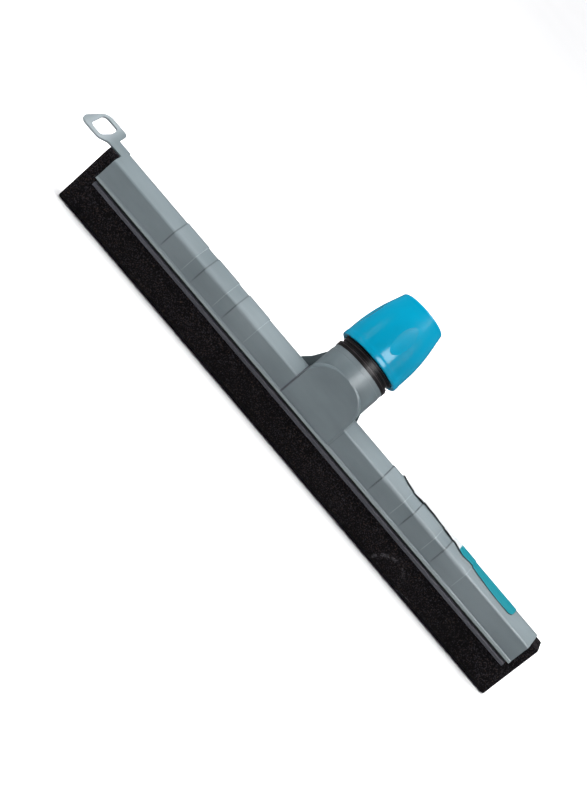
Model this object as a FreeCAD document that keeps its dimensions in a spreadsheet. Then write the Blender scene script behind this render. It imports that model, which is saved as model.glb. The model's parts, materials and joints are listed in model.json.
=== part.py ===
import FreeCAD, Part
import math
import os
import re
import Sketcher

# Squeegee head with a screw clamp for a pole. Millimetres, +Z up. The blade's lips rest on
# z = 0, the blade runs along X, its front faces -Y, and the pole leans back towards +Y.

SIZES = {
    # Foam-rubber leaves
    "blade_length": 397,
    "beam_shift": 1,
    "leaf_thickness": 9.4,
    "leaf_height": 45.2,
    "leaf_round": 3,
    "foam_gap": 0.1,
    # Cassette that grips the leaves and slides into the housing
    "cassette_length": 379.4,
    "cassette_grip": 22.3,
    "cassette_wall": 3.5,
    "cassette_roof": 1.2,
    "lip_height": 2.7,
    "lip_proud": 1.4,
    "lip_round": 0.6,
    "slide_gap": 0.3,
    # Housing beam
    "housing_length": 382,
    "housing_skirt": 17.4,
    "housing_wall": 1.9,
    "roof_wall": 2.2,
    "roof_rise": 5.3,
    "crease_round": 1.6,
    "ridge_round": 9,
    "bead_height": 1.7,
    "bead_proud": 0.7,
    # Raised bands across the beam
    "band_first": 67.4,
    "band_pitch": 28.5,
    "band_width": 19.2,
    "band_proud": 0.5,
    "band_round": 3.4,
    # Tilted socket and its arched front panel
    "lean_angle": 25.3,
    "axis_back": -0.5,
    "axis_rise": 0.2,
    "socket_top": 21,
    "socket_floor": 6,
    "socket_lead": 0.5,
    "socket_root": 22,
    "socket_wall": 2.85,
    "socket_lip": 3.0,
    "socket_step": 0.3,
    "arch_rise": 17.3,
    "arch_spread": 0.4,
    "arch_round": 18.5,
    "arch_edge": 1.2,
    "web_left": 8,
    "web_left_rise": 17.2,
    "web_right": 2.4,
    "web_right_rise": 8,
    "web_root": 2.7,
    "web_back": 11,
    "web_width": 3,
    # Hanging eyelet on the roof's left end
    "eye_width": 1.4,
    "eye_drop": 0.3,
    "eye_length": 34.8,
    "eye_rear": 11.9,
    "eye_front": 12,
    "eye_slant": 8.2,
    "neck_length": 8.5,
    "neck_rear": 1.8,
    "neck_front": 7.2,
    "rim_rear": 3.7,
    "rim_front": 3.5,
    "rim_neck": 6.2,
    "rim_tip": 7.6,
    # Threaded insert
    "insert_radius": 18,
    "insert_gap": 0.05,
    "collar_radius": 20.9,
    "collar_height": 3.3,
    "insert_top": 45.5,
    "insert_bore": 12.6,
    "cone_radius": 15,
    "cone_height": 15,
    "cone_spread": 2.2,
    # Screw thread
    "thread_root": 18.7,
    "thread_depth": 1.3,
    "thread_pitch": 2.5,
    "thread_base": 1.4,
    "thread_crest": 0.6,
    "thread_gap": 0.25,
    "nut_thread_turns": 3,
    # Split collet
    "pole_radius": 12.5,
    "collet_gap": 0.1,
    "collet_tip": 35,
    "collet_cone": 13,
    "collet_length": 29.5,
    "cone_gap": 0.24,
    "flange_radius": 18,
    "flange_start": 15.5,
    "flange_width": 3,
    "sleeve_radius": 14.8,
    "slot_width": 1.6,
    "slot_length": 24,
    # Lock nut
    "nut_start": 28.8,
    "nut_length": 45,
    "nut_radius": 23.1,
    "nut_rim": 0.3,
    "nut_top_radius": 16.9,
    "nut_belly": 100,
    "nut_run": 21.3,
    "nut_gap": 0.4,
    "mouth_radius": 13.2,
    "mouth_flare": 1.2,
    "dimple_height": 23.5,
    "dimple_long": 38,
    "dimple_wide": 14.2,
    "dimple_deep": 6,
    "dimple_bite": 1.1,
    "nut_sag": 0.9,
    "dimple_tilt": 6.8,
    "dimple_turn": 11,
    # Label on the roof
    "label_start": 68,
    "label_length": 104,
    "label_front": 9.2,
    "label_front_left": 1.5,
    "label_back": 13.5,
    "label_thick": 0.3,
    "label_gap": 0.1,
}

# Sizes that follow from the ones above.
CASSETTE_HALF = "(leaf_thickness + foam_gap + cassette_wall)"
CHANNEL_HALF = f"({CASSETTE_HALF} + slide_gap)"
BEAM_HALF = f"({CHANNEL_HALF} + housing_wall)"
PANEL_FRONT = f"({BEAM_HALF} + band_proud)"
CASSETTE_RIDGE = "(leaf_height + foam_gap + cassette_roof)"
CHANNEL_RIDGE = f"({CASSETTE_RIDGE} + slide_gap)"
RIDGE = f"({CHANNEL_RIDGE} + roof_wall)"
CREASE = f"({RIDGE} - roof_rise)"
SLOPE = f"(roof_rise / {BEAM_HALF})"
FOOT = "(leaf_height - housing_skirt)"
SOCKET_RADIUS = "(insert_radius + insert_gap + socket_wall)"
AXIS_HEIGHT = f"({RIDGE} + axis_rise)"
COLLET_BORE = "(pole_radius + collet_gap)"
CONE_SLOPE = "(cone_spread / cone_height)"

doc = FreeCAD.newDocument("squeegee")
sizes = doc.addObject("Spreadsheet::Sheet", "sizes")
for row, (name, number) in enumerate(SIZES.items(), start=1):
    sizes.set(f"A{row}", name)
    sizes.set(f"B{row}", str(number))
    sizes.setAlias(f"B{row}", name)
doc.recompute()
parts = []


def bound(text):
    """The expression with each size's name pointing at its cell."""
    return re.sub(r"[a-z]+(?:_[a-z]+)+", lambda word: f"sizes.{word.group()}", text)


def value(text):
    return float(sizes.evalExpression(bound(text)))


def drive(item, **properties):
    for name, text in properties.items():
        item.setExpression(name.replace("__", "."), bound(text))


def new_body(label):
    body = doc.addObject("PartDesign::Body", label)
    body.Label = label
    parts.append(body)
    return body


def plane(body, role):
    return next(item for item in body.Origin.OriginFeatures if item.Role == role)


def new_sketch(body, name, role, across="0", up="0", out="0", turn="0"):
    """A sketch on an origin plane, moved and turned within it."""
    sketch = body.newObject("Sketcher::SketchObject", name)
    sketch.AttachmentSupport = [(plane(body, role), "")]
    sketch.MapMode = "FlatFace"
    offset = f"placement(vector({across}; {up}; {out}); rotation(vector(0; 0; 1); {turn}))"
    drive(sketch, AttachmentOffset=offset)
    return sketch


def pin(sketch, shape, end, text, axis):
    """Holds one coordinate of a point at an expression's value."""
    number = value(text)
    if abs(number) < 1e-9:
        sketch.addConstraint(Sketcher.Constraint("PointOnObject", shape, end, -2 if axis == "X" else -1))
    elif number > 0:
        index = sketch.addConstraint(Sketcher.Constraint(f"Distance{axis}", -1, 1, shape, end, number))
        sketch.setExpression(f"Constraints[{index}]", bound(text))
    else:
        index = sketch.addConstraint(Sketcher.Constraint(f"Distance{axis}", shape, end, -1, 1, -number))
        sketch.setExpression(f"Constraints[{index}]", bound(f"-({text})"))


def outline(sketch, corners):
    """A closed outline through corners (across, up) or (across, up, rounding)."""
    count = len(corners)
    points = [FreeCAD.Vector(value(corner[0]), value(corner[1]), 0) for corner in corners]
    ends = []
    for index, corner in enumerate(corners):
        before = (points[index - 1] - points[index]).normalize()
        after = (points[(index + 1) % count] - points[index]).normalize()
        reach = 0.0
        if len(corner) == 3:
            reach = value(corner[2]) / math.tan(before.getAngle(after) / 2)
        ends.append((points[index] + before * reach, points[index] + after * reach))
    lines = []
    for index in range(count):
        line = Part.LineSegment(ends[index][1], ends[(index + 1) % count][0])
        lines.append(sketch.addGeometry(line, False))
    for index, corner in enumerate(corners):
        incoming, outgoing = lines[index - 1], lines[index]
        if len(corner) == 2:
            sketch.addConstraint(Sketcher.Constraint("Coincident", incoming, 2, outgoing, 1))
            pin(sketch, outgoing, 1, corner[0], "X")
            pin(sketch, outgoing, 1, corner[1], "Y")
        else:
            round_corner(sketch, points[index], ends[index], incoming, outgoing, corner)


def round_corner(sketch, point, tangents, incoming, outgoing, corner):
    """An arc tangent to both lines, whose sharp corner stays pinned."""
    radius = value(corner[2])
    first, second = tangents
    middle = (first + second) * 0.5
    towards = (middle - point).normalize()
    centre = point + towards * math.hypot(radius, (first - point).Length)
    start, end = first - centre, second - centre
    left = start.cross(end).z > 0
    if not left:
        start, end = end, start
    circle = Part.Circle(centre, FreeCAD.Vector(0, 0, 1), radius)
    arc = Part.ArcOfCircle(circle, math.atan2(start.y, start.x), math.atan2(end.y, end.x))
    shape = sketch.addGeometry(arc, False)
    mark = sketch.addGeometry(Part.Point(point), True)
    pin(sketch, mark, 1, corner[0], "X")
    pin(sketch, mark, 1, corner[1], "Y")
    for line in (incoming, outgoing):
        sketch.addConstraint(Sketcher.Constraint("PointOnObject", mark, 1, line))
    sketch.addConstraint(Sketcher.Constraint("Tangent", incoming, 2, shape, 1 if left else 2))
    sketch.addConstraint(Sketcher.Constraint("Tangent", outgoing, 1, shape, 2 if left else 1))
    index = sketch.addConstraint(Sketcher.Constraint("Radius", shape, radius))
    sketch.setExpression(f"Constraints[{index}]", bound(corner[2]))


def feature(body, kind, name, sketch, **properties):
    """A feature on a sketch; adding material must grow the body, cutting must shrink it."""
    before = volume(body)
    item = body.newObject(f"PartDesign::{kind}", name)
    item.Profile = sketch
    for key, content in properties.items():
        if key == "expressions":
            drive(item, **content)
        else:
            setattr(item, key, content)
    doc.recompute()
    body.Tip = item
    doc.recompute()
    change = volume(body) - before
    grows = kind in ("Pad", "Revolution", "AdditiveHelix")
    if (change > 0) != grows or not body.Shape.isValid():
        raise RuntimeError(f"{name} left {body.Label} wrong, with its volume changed by {change:.1f}")
    return item


def volume(body):
    return body.Shape.Volume if body.Tip and not body.Shape.isNull() else 0.0


def pad(body, name, sketch, length, midplane=True, reverse=False):
    return feature(body, "Pad", name, sketch, Midplane=midplane, Reversed=reverse,
                   expressions={"Length": length})


def mirrored(corners):
    """The right half of an outline, from bottom to top, and its mirror image."""
    left = [(f"-({corner[0]})", *corner[1:]) for corner in corners if corner[0] != "0"]
    return corners + left[::-1]


def on_pole_axis(item):
    """Local Z runs up the pole's axis, from the point where it crosses the roof."""
    place = f"placement(vector(0; axis_back; {AXIS_HEIGHT}); rotation(vector(1; 0; 0); -lean_angle))"
    drive(item, Placement=place)


def spin(body, name, sketch, kind="Revolution"):
    return feature(body, kind, name, sketch, ReferenceAxis=(sketch, ["V_Axis"]), Angle=360)


# Foam-rubber leaves: two straight strips, back to back, with lips at the floor.

def foam_leaf(label, side):
    body = new_body(label)
    shoulder = f"leaf_height - {SLOPE} * leaf_thickness"
    corners = [("0", "0"), (f"{side} * leaf_thickness", "0"),
               (f"{side} * leaf_thickness", shoulder, "leaf_round"), ("0", "leaf_height")]
    sketch = new_sketch(body, f"{label}_section", "YZ_Plane")
    outline(sketch, corners)
    pad(body, f"{label}_strip", sketch, "blade_length")


foam_leaf("front_foam_strip", -1)
foam_leaf("rear_foam_strip", 1)


# Cassette: the channel that grips both leaves. Its lower edge shows under the housing.

def blade_cassette():
    body = new_body("blade_cassette")
    sketch = new_sketch(body, "cassette_section", "YZ_Plane", out="beam_shift")
    foot = "leaf_height - cassette_grip"
    inner = "(leaf_thickness + foam_gap)"
    lip = f"({CASSETTE_HALF} + lip_proud)"
    lip_top = f"({foot} + lip_height)"
    outside = [(lip, foot, "lip_round"), (lip, lip_top, "lip_round"), (CASSETTE_HALF, lip_top),
               (CASSETTE_HALF, f"{CASSETTE_RIDGE} - {SLOPE} * {CASSETTE_HALF}"),
               ("0", CASSETTE_RIDGE)]
    ceiling = "(leaf_height + foam_gap)"
    hollow = [(f"-{inner}", foot), (f"-{inner}", f"{ceiling} - {SLOPE} * {inner}"),
              ("0", ceiling), (inner, f"{ceiling} - {SLOPE} * {inner}"), (inner, foot)]
    outline(sketch, mirrored(outside) + hollow)
    pad(body, "cassette_channel", sketch, "cassette_length")


blade_cassette()


# Housing: beam, raised bands, tilted socket with an arched panel, webs and eyelet, one moulding.

def head_housing():
    body = new_body("head_housing")
    front_arch(body)
    socket_blank(body)
    rear_webs(body)
    trim_front(body)
    beam(body)
    bands(body)
    channel(body)
    insert_seat(body)
    eyelet(body)


def socket_blank(body):
    sketch = new_sketch(body, "socket_section", "YZ_Plane", "axis_back", AXIS_HEIGHT,
                        turn="-lean_angle")
    step = "socket_top - socket_lip"
    slim = f"{SOCKET_RADIUS} - socket_step"
    outline(sketch, [("0", "-socket_root"), (SOCKET_RADIUS, "-socket_root"),
                     (SOCKET_RADIUS, f"{step} - socket_step"), (slim, step),
                     (slim, "socket_top"), ("0", "socket_top")])
    spin(body, "socket_tube", sketch)


def trim_front(body):
    """Cuts the tube flush with the front panel."""
    sketch = new_sketch(body, "front_trim_section", "YZ_Plane")
    far = f"-({BEAM_HALF} + 3 * {SOCKET_RADIUS})"
    outline(sketch, [(f"-{PANEL_FRONT}", "0"), (f"-{PANEL_FRONT}", f"2 * {AXIS_HEIGHT}"),
                     (far, f"2 * {AXIS_HEIGHT}"), (far, "0")])
    feature(body, "Pocket", "front_trim", sketch, Midplane=True,
            expressions={"Length": f"4 * {SOCKET_RADIUS}"})


def beam(body):
    sketch = new_sketch(body, "beam_section", "YZ_Plane", out="beam_shift")
    proud = f"{BEAM_HALF} + bead_proud"
    right = [(proud, FOOT, "bead_proud / 2"), (proud, f"{FOOT} + bead_height", "bead_proud / 2"),
             (BEAM_HALF, f"{FOOT} + bead_height + bead_proud"),
             (BEAM_HALF, CREASE, "crease_round"), ("0", RIDGE, "ridge_round")]
    outline(sketch, mirrored(right))
    pad(body, "beam_bar", sketch, "housing_length")


def front_arch(body):
    sketch = new_sketch(body, "arch_face", "XZ_Plane")
    base = f"{FOOT} + bead_height + bead_proud"
    apex = f"{RIDGE} + arch_rise"
    side = f"{SOCKET_RADIUS} + arch_spread"
    outline(sketch, mirrored([(side, base), (side, apex, "arch_round")]))
    panel = pad(body, "arch_panel", sketch, PANEL_FRONT, midplane=False)
    face_y = -value(PANEL_FRONT)
    chosen = []
    for index, edge in enumerate(body.Shape.Edges, start=1):
        box = edge.BoundBox
        if abs(box.YMin - face_y) < 1e-4 and abs(box.YMax - face_y) < 1e-4 and box.ZMax > value(RIDGE):
            chosen.append(f"Edge{index}")
    fillet = body.newObject("PartDesign::Fillet", "arch_soft_edge")
    fillet.Base = (panel, chosen)
    drive(fillet, Radius="arch_edge")
    doc.recompute()
    body.Tip = fillet
    if not body.Shape.isValid():
        raise RuntimeError("the arch's soft edge is wrong")


def rear_webs(body):
    sketch = new_sketch(body, "web_face", "XZ_Plane", out="-web_back")
    low = f"{CREASE} - housing_wall"
    slope_top = f"{RIDGE} - {SLOPE} * web_back + housing_wall / 2"
    left = f"-({SOCKET_RADIUS} + web_left"
    outline(sketch, [(f"{left})", low), (f"{left})", slope_top),
                     (f"{left} / 2)", f"{RIDGE} + web_left_rise / 8"),
                     (f"-({SOCKET_RADIUS} - web_root)", f"{RIDGE} + web_left_rise"),
                     (f"{SOCKET_RADIUS} - web_root", f"{RIDGE} + web_right_rise"),
                     (f"{SOCKET_RADIUS} + web_right", slope_top),
                     (f"{SOCKET_RADIUS} + web_right", low)])
    pad(body, "web_plate", sketch, "web_width")


def bands(body):
    """Three raised bands each side, over the roof and fading out down both faces."""
    outer = f"({BEAM_HALF} + band_proud)"
    fade = f"{FOOT} + bead_height"
    right = [(f"{BEAM_HALF} - housing_wall / 8", fade),
             (outer, f"{CREASE} + band_proud / 2", "band_round"),
             ("0", f"{RIDGE} + band_proud", "ridge_round")]
    inner = [(f"-({BEAM_HALF} - housing_wall / 2)", f"{CREASE} - housing_wall / 2"),
             ("0", f"{RIDGE} - roof_wall / 2"),
             (f"{BEAM_HALF} - housing_wall / 2", f"{CREASE} - housing_wall / 2")]
    for side in (-1, 1):
        for number in range(3):
            name = f"band_{'left' if side < 0 else 'right'}_{number + 1}"
            centre = f"{side} * (band_first + {number} * band_pitch)"
            sketch = new_sketch(body, f"{name}_section", "YZ_Plane", out=centre)
            outline(sketch, mirrored(right) + inner)
            pad(body, name, sketch, "band_width")


def channel(body):
    sketch = new_sketch(body, "channel_section", "YZ_Plane")
    clear = f"{BEAM_HALF} + 2 * bead_proud"
    shoulder = f"{CHANNEL_RIDGE} - {SLOPE} * {CHANNEL_HALF}"
    outline(sketch, mirrored([(clear, "0"), (clear, FOOT), (CHANNEL_HALF, FOOT),
                              (CHANNEL_HALF, shoulder), ("0", CHANNEL_RIDGE)]))
    feature(body, "Pocket", "cassette_channel_cut", sketch, Midplane=True,
            expressions={"Length": "housing_length + 2 * blade_length"})


def insert_seat(body):
    sketch = new_sketch(body, "seat_section", "YZ_Plane", "axis_back", AXIS_HEIGHT,
                        turn="-lean_angle")
    radius = "insert_radius + insert_gap"
    outline(sketch, [("0", "socket_floor"), (radius, "socket_floor"),
                     (radius, "socket_top - socket_lead"), (f"{radius} + socket_lead", "socket_top"),
                     (f"{radius} + socket_lead", "socket_top + socket_lip"),
                     ("0", "socket_top + socket_lip")])
    spin(body, "insert_bore", sketch, kind="Groove")


def eyelet(body):
    """A leaf-shaped ring in the plane of the front roof slope."""
    sketch = new_sketch(body, "eye_outline", "XY_Plane")
    slope = f"atan({SLOPE})"
    place = (f"placement(vector(beam_shift - housing_length / 2; 0; {RIDGE} - eye_drop - eye_width); "
             f"rotation(vector(1; 0; 0); {slope}))")
    drive(sketch, AttachmentOffset=place)
    slant = "(eye_length - eye_slant)"
    outline(sketch, [("housing_wall", "neck_rear"), ("-neck_length", "neck_rear", "1"),
                     ("-neck_length", "eye_rear", "3"), (f"-{slant}", "eye_rear", "8"),
                     ("-eye_length", "-eye_front", "4.5"), ("-eye_length / 2", "-eye_front", "6"),
                     ("-neck_length - 3", "-neck_front", "4"), ("housing_wall", "-neck_front")])
    pad(body, "eye_plate", sketch, "eye_width", midplane=False)
    hole = new_sketch(body, "eye_hole_outline", "XY_Plane")
    drive(hole, AttachmentOffset=place)
    near = "-(neck_length + rim_neck)"
    outline(hole, [(near, "eye_rear - rim_rear", "2"), (f"-{slant}", "eye_rear - rim_rear", "4"),
                   ("-(eye_length - rim_tip)", "-(eye_front - rim_front)", "3"),
                   (f"{near} - rim_neck / 2", "-(eye_front - rim_front)", "3"), (near, "0", "5")])
    feature(body, "Pocket", "eye_hole", hole, Midplane=True, expressions={"Length": "4 * eye_width"})


head_housing()


# Screw clamp. Local Z is the pole's axis, from the point where it crosses the roof.

def thread(body, name, radius, start, turns, outwards):
    """A trapezoidal ridge wound right-handed up a cylinder."""
    side = 1 if outwards else -1
    root = f"{radius} - {side} * thread_gap"
    crest = f"{radius} + {side} * thread_depth"
    base = "thread_base" if outwards else "(thread_pitch - thread_crest - 2 * thread_gap)"
    tip = "thread_crest" if outwards else "(thread_pitch - thread_base - 2 * thread_gap)"
    sketch = new_sketch(body, f"{name}_section", "XZ_Plane")
    outline(sketch, [(root, f"{start} - {base} / 2"), (crest, f"{start} - {tip} / 2"),
                     (crest, f"{start} + {tip} / 2"), (root, f"{start} + {base} / 2")])
    feature(body, "AdditiveHelix", name, sketch, ReferenceAxis=(sketch, ["V_Axis"]), Mode=0,
            LeftHanded=False, expressions={"Pitch": "thread_pitch", "Height": f"{turns} * thread_pitch"})


def threaded_insert():
    body = new_body("threaded_insert")
    on_pole_axis(body)
    sketch = new_sketch(body, "insert_section", "XZ_Plane")
    seat = "socket_floor + insert_gap"
    neck = "insert_top - cone_height"
    outline(sketch, [("insert_bore", seat), ("insert_radius", seat), ("insert_radius", "socket_top"),
                     ("collar_radius", "socket_top", "0.4"),
                     ("collar_radius", "socket_top + collar_height", "0.4"),
                     ("thread_root", "socket_top + collar_height"),
                     ("thread_root", "insert_top", "0.3"),
                     ("cone_radius + cone_spread", "insert_top"), ("cone_radius", neck),
                     ("insert_bore", f"{neck} - cone_radius + insert_bore")])
    spin(body, "insert_sleeve", sketch)
    start = "(socket_top + collar_height + thread_base)"
    turns = f"floor((insert_top - {start} - thread_base) / thread_pitch)"
    thread(body, "male_thread", "thread_root", start, turns, outwards=True)


threaded_insert()


def split_collet():
    body = new_body("split_collet")
    on_pole_axis(body)
    sketch = new_sketch(body, "collet_section", "XZ_Plane")
    tip = "(cone_radius - cone_gap)"
    flange = "(collet_tip + flange_start)"
    outline(sketch, [(COLLET_BORE, "collet_tip"), (tip, "collet_tip", "0.4"),
                     (f"{tip} + {CONE_SLOPE} * collet_cone", "collet_tip + collet_cone"),
                     (f"{tip} + {CONE_SLOPE} * collet_cone", flange), ("flange_radius", flange, "0.3"),
                     ("flange_radius", f"{flange} + flange_width", "0.3"),
                     ("sleeve_radius", f"{flange} + flange_width"),
                     ("sleeve_radius", "collet_tip + collet_length", "0.4"),
                     (COLLET_BORE, "collet_tip + collet_length")])
    spin(body, "collet_sleeve", sketch)
    slit = new_sketch(body, "slot_section", "YZ_Plane")
    outline(slit, [("-slot_width / 2", "collet_tip - 1"), ("slot_width / 2", "collet_tip - 1"),
                   ("slot_width / 2", "collet_tip + slot_length"),
                   ("-slot_width / 2", "collet_tip + slot_length")])
    cut = feature(body, "Pocket", "collet_slot", slit, Midplane=False, Reversed=True,
                  expressions={"Length": "2 * flange_radius"})
    pattern = body.newObject("PartDesign::PolarPattern", "collet_slots")
    pattern.Originals = [cut]
    pattern.Axis = (slit, ["V_Axis"])
    pattern.Angle = 360
    pattern.Occurrences = 6
    doc.recompute()
    body.Tip = pattern


split_collet()


def lock_nut():
    body = new_body("lock_nut")
    on_pole_axis(body)
    base = "nut_start"
    flange = "(collet_tip + flange_start)"
    top = "(nut_start + nut_length)"
    belly_top = "(nut_start + nut_run)"
    inner = "(thread_root + thread_depth + thread_gap)"
    sleeve_room = "(sleeve_radius + nut_gap)"
    shoulder = f"({flange} + flange_width + nut_gap)"
    sleeve_top = "(collet_tip + collet_length + nut_gap)"
    sketch = new_sketch(body, "nut_section", "XZ_Plane")
    outline(sketch, [(f"{inner} + nut_rim * 3", base), ("nut_radius + nut_rim", base, "0.7"),
                     ("nut_radius + nut_rim", f"{base} + 3", "2"), ("nut_radius", f"{base} + 4.5", "6"),
                     ("nut_radius", belly_top, "nut_belly"), ("nut_top_radius", top, "1.6"),
                     ("mouth_radius + mouth_flare", top), ("mouth_radius", f"{top} - 2 * mouth_flare"),
                     ("mouth_radius", f"{sleeve_top} + nut_gap"), (sleeve_room, sleeve_top),
                     (sleeve_room, shoulder), ("flange_radius + nut_gap", shoulder),
                     ("flange_radius + nut_gap", f"{flange} - nut_gap"), (inner, f"{flange} - nut_gap"),
                     (inner, f"{base} + 1.2")])
    spin(body, "nut_shell", sketch)
    start = "(socket_top + collar_height + thread_base + 3.5 * thread_pitch)"
    thread(body, "female_thread", inner, start, "nut_thread_turns", outwards=False)
    finger_dimples(body)


def finger_dimples(body):
    """Shallow oval hollows round the nut, one a little to the right of the front."""
    hollow = body.newObject("PartDesign::SubtractiveEllipsoid", "finger_dimple")
    hollow.AttachmentSupport = [(plane(body, "XY_Plane"), "")]
    hollow.MapMode = "FlatFace"
    away = "(nut_radius - dimple_bite - nut_sag + dimple_deep)"
    place = (f"placement(vector({away} * sin(dimple_turn); -{away} * cos(dimple_turn); "
             f"nut_start + dimple_height); rotation(dimple_turn; 0; -dimple_tilt))")
    drive(hollow, AttachmentOffset=place, Radius1="dimple_long", Radius2="dimple_wide",
          Radius3="dimple_deep")
    doc.recompute()
    ring = body.newObject("PartDesign::PolarPattern", "finger_dimples")
    ring.Originals = [hollow]
    ring.Axis = (plane(body, "Z_Axis"), [""])
    ring.Angle = 360
    ring.Occurrences = 4
    doc.recompute()
    body.Tip = ring


lock_nut()


def product_label():
    """A blank sticker over the ridge, resting on the raised bands."""
    body = new_body("product_label")
    sketch = new_sketch(body, "label_section", "YZ_Plane", out="label_start")
    low = f"({RIDGE} + band_proud + label_gap)"
    outline(sketch, [("-label_front", f"{low} - {SLOPE} * label_front"), ("0", low, "ridge_round"),
                     ("label_back", f"{low} - {SLOPE} * label_back"),
                     ("label_back", f"{low} + label_thick - {SLOPE} * label_back"),
                     ("0", f"{low} + label_thick", "ridge_round"),
                     ("-label_front", f"{low} + label_thick - {SLOPE} * label_front")])
    pad(body, "label_sheet", sketch, "label_length", midplane=False)
    skew = new_sketch(body, "label_skew", "XY_Plane")
    before = "label_start - label_gap"
    beyond = "label_start + label_length + label_gap"
    outline(skew, [(before, "-2 * label_front"), (beyond, "-2 * label_front"),
                   (beyond, "-label_front"), (before, "-label_front_left")])
    feature(body, "Pocket", "label_front_cut", skew, Midplane=True,
            expressions={"Length": f"4 * {RIDGE}"})


product_label()
doc.recompute()
for item in doc.Objects:
    if "Invalid" in item.State or "Error" in item.State:
        raise RuntimeError(f"{item.Label} was not made")
for body in parts:
    if body.Shape.isNull() or not body.Shape.isValid() or len(body.Shape.Solids) != 1:
        raise RuntimeError(f"{body.Label} is not one sound solid")
os.makedirs("parts", exist_ok=True)
for body in parts:
    body.Shape.exportStep(f"parts/{body.Label}.step")
    print(f"{body.Label}: {body.Shape.Volume / 1000:.1f} cm3")
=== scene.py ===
# %% [markdown]
# # A squeegee head with a foam-rubber blade
# The head is a long grey moulding that holds two leaves of black foam rubber. A blue nut on a
# leaning socket clamps the pole. The hard parts come from the CAD model as a fixed frame, so this
# lesson adds the camera, the lights, the soft leaves, the label film and every finish.

# %% Load the frame
import json
import math

import bmesh
import bpy
from mathutils import Matrix, Vector, noise
from mathutils.bvhtree import BVHTree


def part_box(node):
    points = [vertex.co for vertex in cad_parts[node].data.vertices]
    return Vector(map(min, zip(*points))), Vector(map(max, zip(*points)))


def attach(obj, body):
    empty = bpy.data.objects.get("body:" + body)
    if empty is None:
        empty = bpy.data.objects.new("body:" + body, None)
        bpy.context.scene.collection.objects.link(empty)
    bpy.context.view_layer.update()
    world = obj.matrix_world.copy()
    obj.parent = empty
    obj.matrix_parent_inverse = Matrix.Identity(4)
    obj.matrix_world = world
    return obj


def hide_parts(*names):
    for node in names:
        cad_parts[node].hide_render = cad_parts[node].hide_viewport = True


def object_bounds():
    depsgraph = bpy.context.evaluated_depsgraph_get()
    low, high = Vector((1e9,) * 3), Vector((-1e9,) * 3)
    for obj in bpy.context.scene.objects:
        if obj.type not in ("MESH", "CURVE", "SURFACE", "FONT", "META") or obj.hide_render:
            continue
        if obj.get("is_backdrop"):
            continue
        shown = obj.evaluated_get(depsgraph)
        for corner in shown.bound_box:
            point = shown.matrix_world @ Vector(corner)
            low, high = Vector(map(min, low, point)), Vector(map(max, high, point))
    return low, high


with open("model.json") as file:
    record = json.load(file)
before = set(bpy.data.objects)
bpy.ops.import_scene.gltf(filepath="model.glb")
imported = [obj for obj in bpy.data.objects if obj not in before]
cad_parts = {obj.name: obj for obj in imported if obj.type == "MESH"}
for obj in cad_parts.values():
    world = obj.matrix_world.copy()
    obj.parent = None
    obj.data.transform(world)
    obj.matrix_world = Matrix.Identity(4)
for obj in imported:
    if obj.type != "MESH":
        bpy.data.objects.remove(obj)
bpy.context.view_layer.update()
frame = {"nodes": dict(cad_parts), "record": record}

scene = bpy.context.scene
MM = 0.001

# %% [markdown]
# ## The camera
# The head is seen from a little above, almost square on, with the camera rolled by half a right
# angle so that the blade runs down to the right. A long lens keeps the blade's two ends nearly the
# same size. The camera is built from three directions: where it looks from, its right and its up.

# %% Place the camera
VIEW_AZIMUTH = math.radians(-0.8)
VIEW_ELEVATION = math.radians(17.0)
VIEW_ROLL = math.radians(49.89)
VIEW_DISTANCE = 1.321
VIEW_TARGET = Vector((-11.8 * MM, 0.0, 27.4 * MM))
SENSOR = 36.0
LENS = 98.13

away = Vector((math.sin(VIEW_AZIMUTH) * math.cos(VIEW_ELEVATION),
               -math.cos(VIEW_AZIMUTH) * math.cos(VIEW_ELEVATION),
               math.sin(VIEW_ELEVATION)))
level_right = Vector((0.0, 0.0, 1.0)).cross(away).normalized()
level_up = away.cross(level_right)
camera_right = math.cos(VIEW_ROLL) * level_right + math.sin(VIEW_ROLL) * level_up
camera_up = away.cross(camera_right)

lens = bpy.data.cameras.new("studio_camera")
lens.sensor_fit = "VERTICAL"
lens.sensor_height = SENSOR
lens.lens = LENS
lens.clip_end = 200.0
camera = bpy.data.objects.new("studio_camera", lens)
turn = Matrix((camera_right, camera_up, away)).transposed().to_4x4()
camera.matrix_world = Matrix.Translation(VIEW_TARGET + away * VIEW_DISTANCE) @ turn
scene.collection.objects.link(camera)
scene.camera = camera
print("camera at", [round(place, 3) for place in camera.location])

# %% [markdown]
# ## The lights
# A small glossy object wants large soft sources, because their reflections are the highlights.
# Each lamp could do both jobs, but then brightness and highlights can't be tuned apart, so here a
# lamp either lights or is reflected. Five only light: a wide even ceiling, a box behind for the
# roof, one at each side, and a large one far behind that keeps the distant floor as pale as the
# near one. Two are only reflected: a strip in front draws the streaks on the socket and the nut,
# and a bar hung overhead on the right draws the bright lines along the crease and the bead. The
# boxes and the strip aim at the socket.

# %% Make a softbox
def around(middle, azimuth, elevation, distance):
    """A place seen from middle at those angles in degrees. Azimuth 0 is in front."""
    side, above = math.radians(azimuth), math.radians(elevation)
    return middle + distance * Vector((math.sin(side) * math.cos(above),
                                       -math.cos(side) * math.cos(above), math.sin(above)))


def softbox(name, place, target, size, watts, reflected=False):
    """A rectangular area light at place, aimed at target. It either lights or is reflected."""
    lamp = bpy.data.lights.new(name, "AREA")
    lamp.shape = "RECTANGLE"
    lamp.size, lamp.size_y = size
    lamp.energy = watts
    holder = bpy.data.objects.new(name, lamp)
    holder.location = place
    holder.rotation_euler = (target - place).to_track_quat("-Z", "Y").to_euler()
    holder.visible_diffuse = not reflected
    holder.visible_glossy = reflected
    scene.collection.objects.link(holder)


SOCKET = Vector((0.0, 10.0 * MM, 60.0 * MM))
print("a box at the left stands at", [round(part, 2) for part in around(SOCKET, -74, 22, 1.9)])

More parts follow.
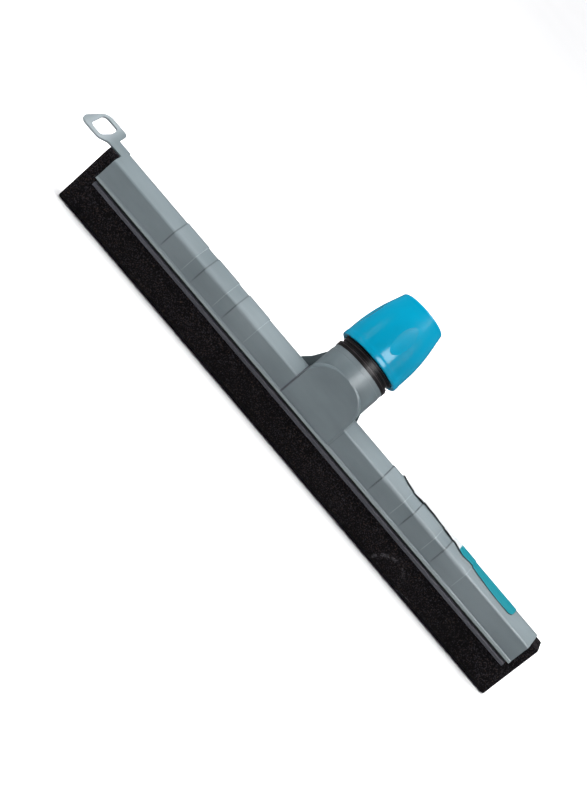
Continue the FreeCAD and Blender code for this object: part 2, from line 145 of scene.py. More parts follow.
# %% Hang the lamps
def hang_ceiling(strength, spread, tilt):
    """An even light from above, like a wide translucent ceiling: a sun with a very large disc."""
    lamp = bpy.data.lights.new("ceiling", "SUN")
    lamp.energy = strength
    lamp.angle = math.radians(spread)
    holder = bpy.data.objects.new("ceiling", lamp)
    holder.visible_glossy = False
    holder.rotation_euler = [math.radians(part) for part in tilt]
    scene.collection.objects.link(holder)


hang_ceiling(strength=2.8, spread=36, tilt=(3, 4, 0))
softbox("left_box", around(SOCKET, -74, 22, 1.9), SOCKET, (0.7, 0.7), 20.0)
softbox("right_box", around(SOCKET, 75, 30, 1.9), SOCKET, (0.7, 0.7), 16.0)
softbox("rear_box", around(SOCKET, 180, 70, 1.7), SOCKET, (1.2, 0.6), 34.0)
softbox("reflected_strip", around(SOCKET, 28, 36, 1.5), SOCKET, (0.9, 0.34), 18.0, True)

one_metre_up = Vector((0.0, 0.0, 1.0))
over_right_half = Vector((0.54, -0.08, 1.5))
softbox("reflected_bar", over_right_half, over_right_half - one_metre_up, (0.85, 0.28), 28.0, True)
far_floor = Vector((0.0, 8.5, 0.0))
softbox("floor_box", far_floor + 3 * one_metre_up, far_floor, (8.0, 8.0), 110.0)

# %% Fill the studio with dim air
world = bpy.data.worlds.new("studio_air")
world.use_nodes = True
air = world.node_tree.nodes["Background"].inputs
air["Color"].default_value = (0.93, 0.95, 0.97, 1.0)
air["Strength"].default_value = 0.15
scene.world = world
scene.view_settings.view_transform = "Standard"
print("the air's strength:", round(air["Strength"].default_value, 2))

# %% [markdown]
# ## A short way to write materials
# A node tree is a sum written with wires. The first class below holds one output socket and knows
# how to add, subtract and multiply, so a mask reads as ordinary arithmetic. The second is a finish:
# it owns one material's tree, and one method makes any node from its type, its settings, which come
# first because some of them change which sockets there are, and the values or wires of its sockets.

# %% Wires that take part in sums
class Wire:
    """An output socket with the operators of a number."""

    def __init__(self, finish, socket):
        self.finish = finish
        self.socket = socket

    def worked_out(self, operation, first, second):
        return self.finish.node("ShaderNodeMath", {"operation": operation},
                                {"Value": first, "Value_001": second})

    def __add__(self, other):
        return self.worked_out("ADD", self, other)

    def __sub__(self, other):
        return self.worked_out("SUBTRACT", self, other)

    def __rsub__(self, other):
        return self.worked_out("SUBTRACT", other, self)

    def __mul__(self, other):
        return self.worked_out("MULTIPLY", self, other)

    def __abs__(self):
        return self.worked_out("ABSOLUTE", self, 0.0)

    __radd__ = __add__
    __rmul__ = __mul__


print("a wire can be added to, taken from, multiplied and made positive")

# %% A finish and its nodes
class Finish:
    """One material with its node tree and its main shader."""

    def __init__(self, name):
        self.material = bpy.data.materials.new(name)
        self.material.use_nodes = True
        self.tree = self.material.node_tree
        self.shader = self.tree.nodes["Principled BSDF"]

    def node(self, kind, settings, sockets, output=None):
        """Adds a node and gives the wire of its output, by default the first one."""
        made = self.tree.nodes.new(kind)
        for key, value in settings.items():
            setattr(made, key, value)
        for key, value in sockets.items():
            self.feed(next(s for s in made.inputs if key in (s.identifier, s.name)), value)
        return Wire(self, next(s for s in made.outputs if output in (s.identifier, s.name, None)))

    def feed(self, target, value):
        if isinstance(value, Wire):
            self.tree.links.new(value.socket, target)
        else:
            target.default_value = value

    def set(self, **values):
        """Feeds the main shader: Base_Color=..., Roughness=... and so on."""
        for key, value in values.items():
            self.feed(self.shader.inputs[key.replace("_", " ")], value)

    def places(self, stretch=(1.0, 1.0, 1.0)):
        """The object's own coordinates, in millimetres, stretched per axis."""
        own = self.node("ShaderNodeTexCoord", {}, {}, output="Object")
        return self.node("ShaderNodeVectorMath", {"operation": "MULTIPLY"},
                         {"Vector": own, "Vector_001": [side / MM for side in stretch]})

    def place(self, axis):
        """The place along X, Y or Z, in millimetres."""
        return self.node("ShaderNodeSeparateXYZ", {}, {"Vector": self.places()}, output=axis)

    def noise(self, scale, detail=3.0, stretch=(1.0, 1.0, 1.0), roughness=0.5):
        """Cloudy noise from 0 to 1, with scale in lumps per millimetre."""
        return self.node("ShaderNodeTexNoise", {}, {"Vector": self.places(stretch), "Scale": scale,
                                                    "Detail": detail, "Roughness": roughness})

    def between(self, value, low, high):
        """0 below low, 1 above high and a smooth step between them."""
        return self.node("ShaderNodeMapRange", {"interpolation_type": "SMOOTHSTEP"},
                         {"Value": value, "From Min": low, "From Max": high})

    def blend(self, mask, first, second):
        """A colour that goes from first to second as the mask goes from 0 to 1."""
        return self.node("ShaderNodeMix", {"data_type": "RGBA"},
                         {"Factor_Float": mask, "A_Color": first, "B_Color": second},
                         output="Result_Color")

    def marked(self, colour, *marks):
        """The colour with each mark laid over it in turn. A mark is a mask and a tint."""
        for mask, tint in marks:
            colour = self.blend(mask, colour, tint)
        return colour

    def bump(self, height, strength, distance):
        """Bumps fed to the shader's normal, distance metres deep where height is 1."""
        self.set(Normal=self.node("ShaderNodeBump", {}, {"Height": height, "Strength": strength,
                                                         "Distance": distance}))


print("a finish knows:", ", ".join(name for name in vars(Finish) if not name.startswith("_")))

# %% Colours as the eye sees them
def rgb(red, green, blue):
    """A colour given as the eye sees it on a screen, 0 to 255, turned to linear light."""
    return [((part / 255 + 0.055) / 1.055) ** 2.4 if part > 10 else part / 255 / 12.92
            for part in (red, green, blue)] + [1.0]


print("mid grey in linear light:", round(rgb(128, 128, 128)[0], 3))

# %% [markdown]
# ## The floor
# The floor is a plain pale sheet, so wide that its edge shows only from very low down. It is one
# flat grid just under the lips, and a faint unevenness keeps it from looking like a flat fill. It
# isn't part of the object, so it is marked as stage, and glossy plastic doesn't mirror it.

# %% Lay the floor
def floor_finish():
    finish = Finish("pale_floor")
    cloud = finish.noise(0.004, 4.0)
    finish.set(Base_Color=finish.blend(cloud, rgb(232, 232, 233), rgb(238, 238, 239)),
               Roughness=cloud * 0.1 + 0.75, Specular_IOR_Level=0.2)
    return finish.material


FLOOR_GAP = 0.05 * MM


def lay_floor(reach, cells):
    """A flat grid, a hair below the blade's lips."""
    shell = bmesh.new()
    bmesh.ops.create_grid(shell, x_segments=cells, y_segments=cells, size=reach)
    mesh = bpy.data.meshes.new("floor")
    shell.to_mesh(mesh)
    shell.free()
    floor = bpy.data.objects.new("floor", mesh)
    floor.location.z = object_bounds()[0][2] - FLOOR_GAP
    floor.data.materials.append(floor_finish())
    scene.collection.objects.link(floor)
    floor.visible_glossy = False
    floor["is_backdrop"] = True
    return floor


print("floor faces:", len(lay_floor(reach=60.0, cells=8).data.polygons))

# %% [markdown]
# ## Feeling for the surface
# Two things follow the top of the moulding: the label film lies on it, and painted shade and
# painted highlights show at its little steps, where the raised bands begin and end. Typed heights
# would miss as soon as the model changes, so a ray is dropped onto the mesh wherever a height is
# needed, and the steps are found by walking along the ridge. A step counts if it is about as tall
# as a raised band, which leaves out the socket.

# %% Drop a ray onto a piece
def top_of(node):
    """A function that gives the height of a node's top surface at x and y."""
    mesh = frame["nodes"][node].data
    tree = BVHTree.FromPolygons([vert.co for vert in mesh.vertices],
                                [list(face.vertices) for face in mesh.polygons])
    above_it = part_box(node)[1][2] + 0.1

    def height(x, y):
        return tree.ray_cast(Vector((x, y, above_it)), Vector((0.0, 0.0, -1.0)))[0].z

    return height


housing_top = top_of("head_housing")
print("the beam's ridge is", round(housing_top(-0.1, 0.0) / MM, 2), "mm above the lips")

# %% Walk along the ridge
BAND_HEIGHT = 0.5 * MM
BAND_REACH = 190
STEP_SLACK = 0.3


def steps_along(height, y):
    """Where the surface steps up and where it steps down, going right, in mm from x = 0."""
    gap = MM / 2
    places = [count * gap for count in range(-2 * BAND_REACH, 2 * BAND_REACH)]
    heights = [height(x, y) for x in places]
    ups, downs = [], []
    for x, before, after in zip(places, heights, heights[1:]):
        if abs(abs(after - before) / BAND_HEIGHT - 1) < STEP_SLACK:
            (ups if after > before else downs).append(round((x + gap / 2) / MM, 2))
    return ups, downs


steps_up, steps_down = steps_along(housing_top, y=2 * MM)
print("steps up at", steps_up, "and down at", steps_down)

# %% [markdown]
# ## Moulded plastic
# The housing, the cassette, the insert and the collet are injection mouldings. Their moulds were
# spark-eroded, so the surface is satin with a very fine grain. Faint flow clouds run along the
# beam, handling has left thin scratches, mostly lengthwise, and a little grit sticks to it. All of
# it is noise at different stretches: cheap, and the same at every render. Each piece adds its own
# marks to this, through a function that is handed the finish and the colour so far.

# %% Make a moulded plastic
def scratches(finish, along, across, cover):
    """A mask of thin lines that run lengthwise: 1 on a scratch."""
    lines = finish.noise(1.0, 2.0, stretch=(along, across, across))
    patches = finish.noise(0.05, 2.0)
    return finish.between(lines, 1 - cover, 1 - cover + 0.03) * finish.between(patches, 0.5, 0.65)


def moulded_plastic(name, colour, pale, roughness, grain_height, shine=0.5, marks=None, dull=None):
    """Satin plastic. marks(finish, colour) gives the marked colour, and dull(finish) adds to the
    roughness."""
    finish = Finish(name)
    clouds = finish.noise(0.03, 4.0, stretch=(0.4, 1.5, 1.5))
    grain = finish.noise(5.0, 2.0)
    scratch = scratches(finish, along=0.06, across=2.2, cover=0.36)
    grit = finish.between(finish.noise(0.9, 1.0), 0.8, 0.84)
    base = finish.marked(colour, (finish.between(clouds, 0.3, 0.7), pale),
                         (scratch * 0.25, pale), (grit * 0.45, rgb(44, 42, 40)))
    finish.set(Base_Color=marks(finish, base) if marks else base,
               Roughness=(roughness + clouds * 0.1 + scratch * 0.12 - grain * 0.05
                          + (dull(finish) if dull else 0.0)),
               Specular_IOR_Level=shine)
    finish.bump(grain * 0.6 + clouds * 0.4, 0.5, grain_height * MM)
    return finish.material


collet_plastic = moulded_plastic("collet_plastic", rgb(52, 52, 54), rgb(70, 70, 72), 0.5, 0.015)
print("the collet's finish has", len(collet_plastic.node_tree.nodes), "nodes")

# %% [markdown]
# ## The housing's marks
# Painted shade darkens thin lines where the raised bands step up and beside the arched panel, and
# painted highlights lighten the edges where the bands step down. The bands themselves are duller
# than the gaps between them. The bead along the beam's foot carries a painted highlight, and the
# eyelet is coloured paler than the rest.
# These marks have places, so their masks come from coordinates and not from noise. The places are
# measured from the frame: the steps, the beam's foot, the insert's side and the hanging hole.

# %% Masks for marks at known places
def lines_across(finish, places, half, low, high):
    """A mask of lines across the beam at those places in mm, fading in between two heights."""
    along = finish.place("X")
    lines = sum(1 - finish.between(abs(along - place), half * 0.5, half * 1.5) for place in places)
    return lines * finish.between(finish.place("Z"), low, high)


def front_half(finish):
    """A mask that is 1 before the middle plane of the blade."""
    return 1 - finish.between(finish.place("Y"), -1.0, 1.0)


def bands_between(finish, starts, ends):
    """A mask of the raised bands, from where the ridge steps up to where it steps down."""
    along = finish.place("X")
    return sum(finish.between(along, start, start + 0.6) - finish.between(along, end - 0.6, end)
               for start, end in zip(starts, ends))


def level(finish, low, high):
    """A mask of what lies between two heights in mm."""
    up = finish.place("Z")
    return finish.between(up, low - 0.1, low + 0.1) - finish.between(up, high - 0.1, high + 0.1)


BEAM_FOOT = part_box("head_housing")[0][2] / MM
FACE_FOOT, FACE_TOP = BEAM_FOOT + 1.2, BEAM_FOOT + 8.0
print("the beam's face runs from", round(FACE_FOOT, 1), "to", round(FACE_TOP, 1), "mm high")

# %% Make the housing's grey
PANEL_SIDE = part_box("threaded_insert")[1][0] / MM
hole_low, hole_high = next(gap["box_m"] for gap in frame["record"]["physics"]["openings"]
                           if gap["name"] == "hanging_hole")
EYELET_MIDDLE = (hole_low[0] + hole_high[0]) / 2 / MM
EYELET_HALF = 9.0
BEAD_HEIGHT = 1.6


def housing_marks(finish, base):
    # Painted shade on the lines where the bands step up, and painted highlights on the edges where
    # they step down.
    step_shade = lines_across(finish, steps_up, 0.42, FACE_FOOT, FACE_TOP)
    step_highlights = lines_across(finish, steps_down, 0.26, FACE_FOOT, FACE_TOP)
    # Painted shade in the joints on each side of the arched panel.
    left_of_panel = lines_across(finish, [-PANEL_SIDE - 0.4], 0.6, FACE_FOOT, FACE_FOOT + 1)
    right_of_panel = lines_across(finish, [PANEL_SIDE + 1.4], 0.3, FACE_FOOT, FACE_FOOT + 1)
    # The eyelet is coloured paler than the rest of the housing.
    eyelet = lines_across(finish, [EYELET_MIDDLE], EYELET_HALF, FACE_FOOT, FACE_TOP)
    # A painted highlight along the bead at the beam's foot.
    bead = level(finish, BEAM_FOOT - 1, BEAM_FOOT + BEAD_HEIGHT)
    return finish.marked(base, (step_shade * 0.65, rgb(50, 55, 58)),
                         (step_highlights * 0.4, rgb(130, 140, 142)),
                         (left_of_panel * front_half(finish) * 0.75, rgb(52, 50, 58)),
                         (right_of_panel * front_half(finish) * 0.25, rgb(56, 60, 64)),
                         (eyelet * 0.9, rgb(124, 132, 136)),
                         (bead * 0.9, rgb(116, 126, 128)))


def dull_bands(finish):
    return bands_between(finish, steps_up, steps_down) * 0.12


grey_plastic = moulded_plastic("grey_plastic", rgb(86, 96, 100), rgb(99, 109, 113), 0.36, 0.02,
                               marks=housing_marks, dull=dull_bands)
print("panel's side:", round(PANEL_SIDE, 1), "eyelet's middle:", round(EYELET_MIDDLE, 1))

# %% [markdown]
# ## The cassette and the insert
# The cassette is the same satin plastic in slate, and is painted almost black in the narrow gap
# under the housing's bead: painted shade, where little light reaches. The insert is black and a
# little smoother, and uneven grey rings around it are painted highlights that stand for fine ring
# edges. The rings follow the leaning axis of the clamp, so the noise is read along that axis only.

# %% Make the slate and the black
GAP_REACH = 1.9


def gap_shade(finish, base):
    # Painted shade: the narrow gap under the bead is coloured almost black.
    gap = level(finish, BEAM_FOOT - GAP_REACH, BEAM_FOOT + 1)
    return finish.marked(base, (gap * 0.9, rgb(14, 14, 16)))


CLAMP_AXIS = next(mount["axis"] for mount in frame["record"]["mounts"]
                  if mount["name"] == "pole_clamp")
RING_PITCH = 1.1


def ring_highlights(finish, base):
    """Uneven grey rings around the clamp's axis, painted highlights that stand for fine ring edges.
    """
    along = finish.node("ShaderNodeVectorMath", {"operation": "DOT_PRODUCT"},
                        {"Vector": finish.places(), "Vector_001": CLAMP_AXIS}, output="Value")
    rings = finish.node("ShaderNodeTexNoise", {"noise_dimensions": "1D"},
                        {"W": along * (1 / RING_PITCH), "Scale": 1.0, "Detail": 1.0})
    # The grey rings are painted highlights for fine ring edges.
    return finish.marked(base, (finish.between(rings, 0.52, 0.62), rgb(58, 54, 55)))


slate_plastic = moulded_plastic("slate_plastic", rgb(56, 57, 64), rgb(67, 68, 76), 0.36, 0.012,
                                marks=gap_shade)
black_plastic = moulded_plastic("black_plastic", rgb(11, 10, 11), rgb(20, 18, 19), 0.3, 0.012,
                                shine=0.18, marks=ring_highlights)
print("the clamp leans by", round(math.degrees(math.acos(CLAMP_AXIS[2])), 1), "degrees")

# %% [markdown]
# ## The nut's glossy blue
# The nut is moulded in a polished tool, so it is glossy with a slight ripple, and its colour drifts
# a little. Hands that turn it dull it in patches. Its highlights are the lamps' reflections, so the
# finish itself stays simple: a low roughness, and a shine set low to keep the blue deep.

# %% Make the blue plastic
def nut_finish():
    finish = Finish("blue_plastic")
    tone = finish.noise(0.05, 3.0)
    ripple = finish.noise(0.35, 2.0)
    wear = finish.between(finish.noise(0.12, 4.0), 0.45, 0.75)
    grain = finish.noise(6.0, 2.0)
    finish.set(Base_Color=finish.blend(tone, rgb(0, 119, 150), rgb(0, 131, 162)),
               Roughness=0.16 + wear * 0.05 + grain * 0.03, Specular_IOR_Level=0.22)
    finish.bump(ripple + grain * 0.1, 0.25, 0.05 * MM)
    return finish.material


blue_plastic = nut_finish()
print("the nut's finish has", len(blue_plastic.node_tree.nodes), "nodes")

# %% [markdown]
# ## Foam rubber
# The leaves are sliced from a block of black cellular rubber. The knife opens the cells, so the
# faces are matt and finely pitted, with a few larger pores, and they hold a little pale dust.
# Cells are a Voronoi pattern at about one per millimetre; the pits are deeper, and painted darker
# as painted shade. Two scuffs show on the front leaf, thin arcs that something round has rubbed. An
# ellipse around the scuff's middle gives the arc, and noise breaks it up.

# %% Masks for the scuffs
# Each scuff has its middle (x, z), its half width and half height in mm, and how pale it is.
SCUFFS = [((104.0, 2.0), (13.0, 12.0), 0.55), ((129.0, 1.0), (13.0, 2.6), 1.0)]


def scuff(finish, middle, reach):
    """A mask of a thin rubbed arc: the upper half of an ellipse around middle."""
    along = finish.place("X") - middle[0]
    up = finish.place("Z") - middle[1]
    front = 1 - finish.between(finish.place("Y"), -5.0, 0.0)
    ring = along * along * (1 / reach[0] ** 2) + up * up * (1 / reach[1] ** 2)
    line = (1 - finish.between(abs(ring - 1), 0.06, 0.26)) * finish.between(up, -2.0, 0.0)
    worn = finish.between(finish.noise(0.35, 2.0), 0.4, 0.6)
    return line * worn * front * (1 - finish.between(along, 0.0, reach[0]))


print("scuffs:", len(SCUFFS))

# %% Make the foam rubber
def foam_finish():
    finish = Finish("foam_rubber")
    cells = finish.node("ShaderNodeTexVoronoi", {},
                        {"Vector": finish.places(), "Scale": 1.15, "Randomness": 1.0},
                        output="Distance")
    fine = finish.noise(1.3, 1.0)
    clouds = finish.noise(0.03, 3.0)
    pores = 1 - finish.between(cells, 0.14, 0.4)
    dust = finish.between(fine * 0.9 + clouds * 0.1, 0.5, 0.66)
    warm = finish.between(finish.noise(0.9, 1.0), 0.5, 0.6)
    speck = finish.blend(warm, rgb(50, 48, 53), rgb(62, 50, 45))
    rubbed = [(scuff(finish, middle, reach) * fine * pale, rgb(104, 102, 106))
              for middle, reach, pale in SCUFFS]
    # The pores are painted darker, as painted shade in the pits.
    finish.set(Base_Color=finish.marked(rgb(9, 8, 10), (dust * 0.68, speck), *rubbed,
                                        (pores * 0.8, rgb(4, 3, 5))),
               Roughness=0.92 - dust * 0.08, Specular_IOR_Level=0.08)
    finish.bump(cells * 0.8 + fine * 0.7 - pores * 0.5, 0.8, 0.3 * MM)
    return finish.material


foam_rubber = foam_finish()
print("the foam's finish has", len(foam_rubber.node_tree.nodes), "nodes")

# %% [markdown]
# ## Dress the hard parts
# The housing, the cassette, the insert, the collet and the nut are rigid, so their CAD meshes have
# the right shape already. They could be made anew, as the soft pieces are below, but then they
# would no longer move exactly as they look. So each keeps its own mesh, and only its material
# changes.

# %% Assign the finishes
finishes = {"head_housing": grey_plastic, "blade_cassette": slate_plastic,
            "threaded_insert": black_plastic, "split_collet": collet_plastic,
            "lock_nut": blue_plastic}
for node, material in finishes.items():
    for place in frame["nodes"][node].material_slots:
        place.material = material
print("dressed:", ", ".join(finishes))

# %% [markdown]
# ## The foam leaves
# Each leaf is a long slab with a rounded lip, held by the cassette from above. It could be a box
# with bevels, but then its cells would be long strips, which neither swell nor wave. So it is made
# as a fine shell of even cells, whose vertices are then pulled onto the rounds.

# %% Make an even shell
LEAF_CELLS = (200, 8, 26)


def shell_of_box(low, high, counts):
    """A closed shell of square-ish cells on the faces of a box, as a bmesh."""
    shell = bmesh.new()
    corner = {}

    def vertex(step):
        if step not in corner:
            corner[step] = shell.verts.new([low[axis] + (high[axis] - low[axis]) * step[axis]
                                            / counts[axis] for axis in range(3)])
        return corner[step]

    for axis in range(3):
        one, two = (axis + 1) % 3, (axis + 2) % 3
        for end in (0, counts[axis]):
            for i in range(counts[one]):
                for j in range(counts[two]):
                    ring = []
                    for di, dj in ((0, 0), (1, 0), (1, 1), (0, 1)):
                        step = [0, 0, 0]
                        step[axis], step[one], step[two] = end, i + di, j + dj
                        ring.append(vertex(tuple(step)))
                    shell.faces.new(ring if end else ring[::-1])
    return shell


leaf_low, leaf_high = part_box("front_foam_strip")
leaf_size = [(high - low) / MM for low, high in zip(leaf_low, leaf_high)]
print("a cell of a leaf, in mm:", [round(a / b, 1) for a, b in zip(leaf_size, LEAF_CELLS)])

# %% Round its edges and its lip
EDGE_ROUND = 0.7 * MM
LIP_ROUND = 2.6 * MM


def round_edges(shell, low, high, radius):
    """Pulls the vertices near a box's edges onto rounds of that radius."""
    for vert in shell.verts:
        core = Vector([min(max(vert.co[axis], low[axis] + radius), high[axis] - radius)
                       for axis in range(3)])
        out = vert.co - core
        reach = max(abs(part) for part in out)
        if reach > 0:
            vert.co = core + out.normalized() * reach


def round_lip(shell, front, bottom, side, radius):
    """Rounds the outer lower edge of the slab. side is -1 for the front leaf and 1 for the rear."""
    for vert in shell.verts:
        depth = radius - (front - vert.co.y) * side
        drop = radius - (vert.co.z - bottom)
        if depth > 0 and drop > 0:
            reach = max(depth, drop)
            turn_y, turn_z = Vector((depth, drop)).normalized() * reach
            vert.co.y = front - (radius - turn_y) * side
            vert.co.z = bottom + radius - turn_z


print("the lip is rounded by", round(LIP_ROUND / leaf_size[1] / MM, 2), "of a leaf's thickness")

# %% Make a leaf
def leaf_piece(name, node, side):
    low, high = [Vector(corner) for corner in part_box(node)]
    shell = shell_of_box(low, high, LEAF_CELLS)
    round_edges(shell, low, high, EDGE_ROUND)
    round_lip(shell, low.y if side < 0 else high.y, low.z, side, LIP_ROUND)
    mesh = bpy.data.meshes.new(name)
    shell.to_mesh(mesh)
    shell.free()
    mesh.shade_smooth()
    leaf = bpy.data.objects.new(name, mesh)
    mesh.materials.append(foam_rubber)
    scene.collection.objects.link(leaf)
    return leaf


LEAF_NODES = {"front_leaf": ("front_foam_strip", -1), "rear_leaf": ("rear_foam_strip", 1)}
leaves = {name: leaf_piece(name, node, side) for name, (node, side) in LEAF_NODES.items()}
print("faces in each leaf:", [len(leaf.data.polygons) for leaf in leaves.values()])

# %% [markdown] ## Swell the foam Gripped foam swells a little below the grip and at its free ends.
# A short cloth simulation with a small inner pressure does that: it is run for a few frames with
# no gravity, and the shape that it reaches is kept. What the cassette grips and what lies against
# the other leaf is held still.

# %% Hold the gripped part and swell the rest
CASSETTE_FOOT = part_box("blade_cassette")[0][2]
HELD_FADE = 5 * MM
SWELL_FRAMES = 12
SWELL_PRESSURE = 0.5


def hold(leaf, grip, back):
    """A vertex group that is held above the grip's lower edge and against the other leaf."""
    held = leaf.vertex_groups.new(name="held")
    for vert in leaf.data.vertices:
        above = (vert.co.z - grip) / HELD_FADE + 1
        against = 1 - abs(vert.co.y - back) / HELD_FADE
        held.add([vert.index], min(max(above, against, 0.0), 1.0), "REPLACE")
    return held.name


def swell(leaf, grip, back):
    """Lets the free foam swell under a little inner pressure, and keeps the shape it reaches."""
    cloth = leaf.modifiers.new("swelling", "CLOTH")
    settings = cloth.settings
    settings.vertex_group_mass = hold(leaf, grip, back)
    settings.quality = 4
    settings.mass = 0.01
    settings.tension_stiffness = settings.compression_stiffness = 8.0
    settings.shear_stiffness = 5.0
    settings.bending_stiffness = 0.5
    settings.use_pressure = True
    settings.uniform_pressure_force = SWELL_PRESSURE
    settings.effector_weights.gravity = 0.0
    for step in range(1, SWELL_FRAMES + 1):
        scene.frame_set(step)
    shape = leaf.evaluated_get(bpy.context.evaluated_depsgraph_get()).data
    swollen = [vert.co.copy() for vert in shape.vertices]
    leaf.modifiers.remove(cloth)
    scene.frame_set(1)
    moved = [(after - vert.co).length for vert, after in zip(leaf.data.vertices, swollen)]
    for vert, after in zip(leaf.data.vertices, swollen):
        vert.co = after
    return max(moved)


for name, (node, side) in LEAF_NODES.items():
    inner_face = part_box(node)[1][1] if side < 0 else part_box(node)[0][1]
    moved = swell(leaves[name], CASSETTE_FOOT, inner_face)
    print(name, "swells by", round(moved / MM, 2), "mm")

# %% [markdown]
# ## Trim the lips
# A knife never cuts foam quite straight, so each lip gets a long uneven wave with a short ripple on
# it. The vertices are moved by noise that depends only on how far along the blade they are, and
# the move fades out above the lip. It lifts the lips, so they stay inside the CAD model's box. Then
# each leaf is told which body it moves with, and the CAD solid it stands for is hidden.

# %% Trim the lips and fit the leaves
TRIM_REACH = 9 * MM
WAVE_LENGTH, RIPPLE_LENGTH = 34 * MM, 7 * MM


def trim_lip(leaf, bottom, seed):
    """Lifts the lip by up to half a millimetre in long uneven waves."""
    for vert in leaf.data.vertices:
        near = max(0.0, 1 - (vert.co.z - bottom) / TRIM_REACH)
        wave = noise.noise(Vector((vert.co.x / WAVE_LENGTH, seed, 0.0)))
        ripple = noise.noise(Vector((vert.co.x / RIPPLE_LENGTH, seed, 4.0)))
        vert.co.z += near * (0.32 + 0.3 * wave + 0.12 * ripple) * MM


for order, (name, (node, side)) in enumerate(LEAF_NODES.items()):
    leaf = leaves[name]
    trim_lip(leaf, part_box(node)[0][2], seed=1.7 + order)
    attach(leaf, "head")
    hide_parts(node)
    lowest = min(vert.co.z for vert in leaf.data.vertices)
    print(name, "reaches down to", round(lowest / MM, 2), "mm")

# %% [markdown]
# ## The label film
# A printed film lies over the ridge of the beam, right of the socket. It is white at its left end
# and teal from its middle on, and it is left blank. Its front edge was pressed down badly, so it
# wanders and lifts, and it shows a dark underside: old glue with painted shade under the lifted
# edge.
# Two materials do that: one for the print, and one for the underside and the cut edge.

# %% Make the film's two finishes
film_low, film_high = [Vector(corner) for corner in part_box("product_label")]
FILM_LEFT = film_low.x / MM
TEAL_START = FILM_LEFT + 53.0


def print_finish():
    """White at the left end and teal from TEAL_START on."""
    finish = Finish("label_film")
    drift = finish.noise(0.3, 2.0)
    teal = finish.between(finish.place("X") + drift * 0.4, TEAL_START, TEAL_START + 0.4)
    tone = finish.noise(0.4, 3.0)
    white = finish.blend(tone, rgb(164, 168, 170), rgb(174, 178, 180))
    colour = finish.blend(tone, rgb(0, 98, 109), rgb(2, 105, 116))
    finish.set(Base_Color=finish.blend(teal, white, colour), Roughness=0.4 + tone * 0.12,
               Specular_IOR_Level=0.15)
    finish.bump(finish.noise(0.25, 2.0), 0.3, 0.08 * MM)
    return finish.material


def glue_and_shade_finish():
    """The film's underside and cut edge, grey with old glue and painted shade."""
    finish = Finish("label_glue")
    grime = finish.noise(1.5, 4.0)
    finish.set(Base_Color=finish.blend(grime, rgb(26, 20, 18), rgb(58, 50, 46)),
               Roughness=0.7 + grime * 0.2)
    return finish.material


film_print, film_glue_and_shade = print_finish(), glue_and_shade_finish()
print("the teal starts at", round(TEAL_START, 1), "mm")

# %% [markdown]
# ## The film's outline
# Along the back the film is straight, but its front edge runs unevenly, further forward at the
# right. A handful of points gives that edge, with a smooth curve through them, and the two corners
# at the right end are rounded. The points are counted from the film's left end and from the ridge.

# %% Draw the front edge
FRONT_EDGE = [(FILM_LEFT + along, forward) for along, forward in (
    (-1.8, 1.0), (2, -2.0), (8, -3.3), (32, -3.5), (48, -5.0), (56, -7.0), (65, -6.3), (74, -7.4),
    (87, -8.7), (104, -9.1))]
FILM_END_ROUND = 4.0 * MM


def smooth_between(points, x):
    """The height of a smooth curve through points at x: cubic, with gentle slopes at the points."""
    slopes = []
    for index in range(len(points)):
        before, after = points[max(index - 1, 0)], points[min(index + 1, len(points) - 1)]
        slopes.append((after[1] - before[1]) / (after[0] - before[0]))
    for index in range(len(points) - 1):
        (x0, y0), (x1, y1) = points[index], points[index + 1]
        if x <= x1 or index == len(points) - 2:
            width = x1 - x0
            t = min(max((x - x0) / width, 0.0), 1.0)
            return (y0 * (1 + 2 * t) * (1 - t) ** 2 + slopes[index] * width * t * (1 - t) ** 2
                    + y1 * t * t * (3 - 2 * t) + slopes[index + 1] * width * t * t * (t - 1))


def film_edges(x):
    """Where the film's front and back edges run at x, in metres."""
    inset = max(0.0, x - (film_high.x - FILM_END_ROUND))
    trim = FILM_END_ROUND - math.sqrt(max(0.0, FILM_END_ROUND ** 2 - inset ** 2))
    return smooth_between(FRONT_EDGE, x / MM) * MM + trim, film_high.y - trim


for x in (film_low.x, film_high.x - FILM_END_ROUND):
    front, back = film_edges(x)
    print("the film is", round((back - front) / MM, 1), "mm wide at", round(x / MM), "mm")
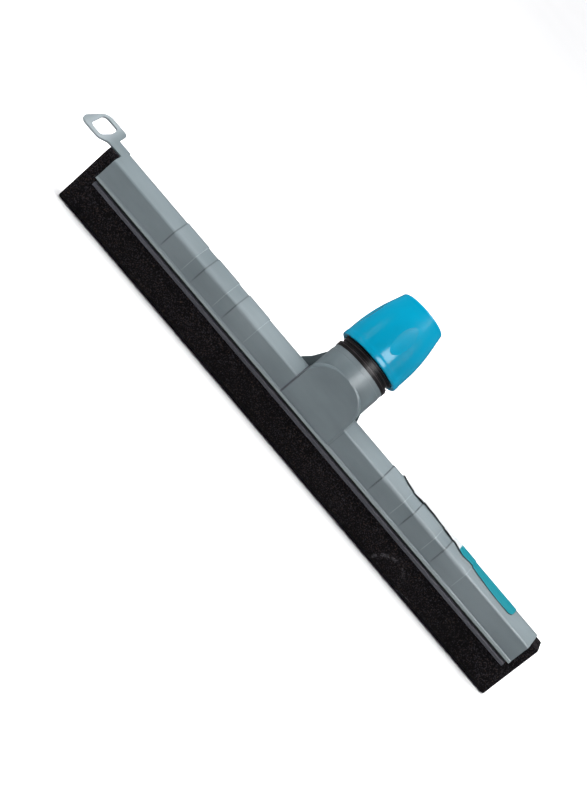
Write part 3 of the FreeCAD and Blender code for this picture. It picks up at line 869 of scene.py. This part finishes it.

# %% [markdown]
# ## Lay the film
# The film is a grid whose points drop onto the moulding, so it follows every step of the ridge. A
# small lift keeps it clear of the plastic, and a curl that falls off quickly from the front edge
# makes that edge stand up, most at the white end. A Solidify modifier gives the grid its thickness,
# and the material of old glue and painted shade on the underside and the rim.

# %% Drop the film onto the beam
FILM_THICKNESS = 0.3 * MM
FILM_LIFT = 0.06 * MM
FILM_CELLS = (208, 44)
CURL_END = (FILM_LEFT + 68) * MM
CURL_FADE = 30 * MM


def film_curl(x, share):
    """How far the film stands off. share is 0 at the front edge and 1 at the back."""
    loose = 0.22 + 0.95 * max(0.0, min(1.0, (CURL_END - x) / CURL_FADE))
    ripple = 0.8 + 0.2 * math.sin(x / (4.3 * MM)) + 0.12 * math.sin(x / (1.9 * MM) + 1.0)
    return (1 - share) ** 5 * loose * ripple * MM


def film_grid():
    """The film as a bmesh, a hair above the housing."""
    columns, rows = FILM_CELLS
    start = FRONT_EDGE[0][0] * MM
    shell = bmesh.new()
    grid = []
    for i in range(columns + 1):
        x = start + (film_high.x - start) * i / columns
        front, back = film_edges(x)
        column = []
        for j in range(rows + 1):
            y = front + (back - front) * j / rows
            lift = FILM_LIFT + film_curl(x, j / rows)
            column.append(shell.verts.new((x, y, housing_top(x, y) + lift)))
        grid.append(column)
    for i in range(columns):
        for j in range(rows):
            shell.faces.new((grid[i][j], grid[i + 1][j], grid[i + 1][j + 1], grid[i][j + 1]))
    return shell


shell = film_grid()
mesh = bpy.data.meshes.new("label_skin")
shell.to_mesh(mesh)
shell.free()
mesh.shade_smooth()
mesh.materials.append(film_print)
mesh.materials.append(film_glue_and_shade)
print("film faces:", len(mesh.polygons))

# %% Thicken the film and fit it
film = bpy.data.objects.new("label_skin", mesh)
scene.collection.objects.link(film)
thick = film.modifiers.new("film thickness", "SOLIDIFY")
thick.thickness = FILM_THICKNESS
thick.offset = 1.0
# The underside and the rim take the second material: old glue with painted shade.
thick.material_offset = 1
thick.material_offset_rim = 1
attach(film, "head")
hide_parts("product_label")
print("film thickness in mm:", round(thick.thickness / MM, 2))

# %% [markdown]
